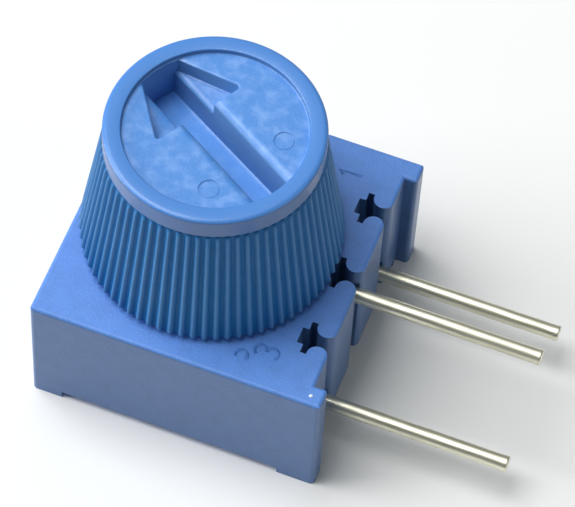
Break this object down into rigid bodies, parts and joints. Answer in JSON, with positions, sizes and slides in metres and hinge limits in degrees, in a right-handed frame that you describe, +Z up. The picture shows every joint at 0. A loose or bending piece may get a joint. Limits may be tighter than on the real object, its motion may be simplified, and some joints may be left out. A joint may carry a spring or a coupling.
{
  "type": "trimmer potentiometer",
  "caption": "Square-cased single-turn trimmer potentiometer with a ribbed conical thumb knob, an arrow-shaped screwdriver slot, and wire pins leaving one side.",
  "frame": {"origin": "where the knob's axis meets the plane that the four feet stand on", "axes": "+Z up along the knob's axis; +X the way the three pins leave the case; +Y across the row of pins, towards pin 1"},
  "size_m": [0.0151, 0.0096, 0.0105],
  "materials": {
    "case_plastic": "satin moulded thermoplastic",
    "knob_plastic": "semi-gloss moulded nylon",
    "tinned_wire": "solder-dipped copper wire",
    "solder": "solder",
    "epoxy": "cast amber epoxy",
    "alumina": "fired, unglazed",
    "cermet": "printed and fired film",
    "conductor_film": "printed silver palladium film",
    "rotor_plastic": "natural moulded plastic",
    "seal_rubber": "moulded ring",
    "wiper_alloy": "stamped spring alloy"
  },
  "bodies": {
    "case": {"housing": "case_plastic", "element_substrate": "alumina", "resistive_track": "cermet", "end_pad_1": "conductor_film", "end_pad_3": "conductor_film", "collector_pad": "conductor_film", "terminal_pin_1": "tinned_wire", "terminal_pin_2": "tinned_wire", "terminal_pin_3": "tinned_wire", "solder_joint_1": "solder", "solder_joint_2": "solder", "solder_joint_3": "solder", "epoxy_potting": "epoxy"},
    "turning_knob": {"knob": "knob_plastic", "rotor": "rotor_plastic", "rotor_seal": "seal_rubber", "wiper_spring": "wiper_alloy"}
  },
  "joints": [
    {"name": "knob_turn", "type": "hinge", "parent": "case", "child": "turning_knob", "pos_m": [0, 0, 0], "axis": [0, 0, 1], "range_deg": [-124, 186]}
  ]
}
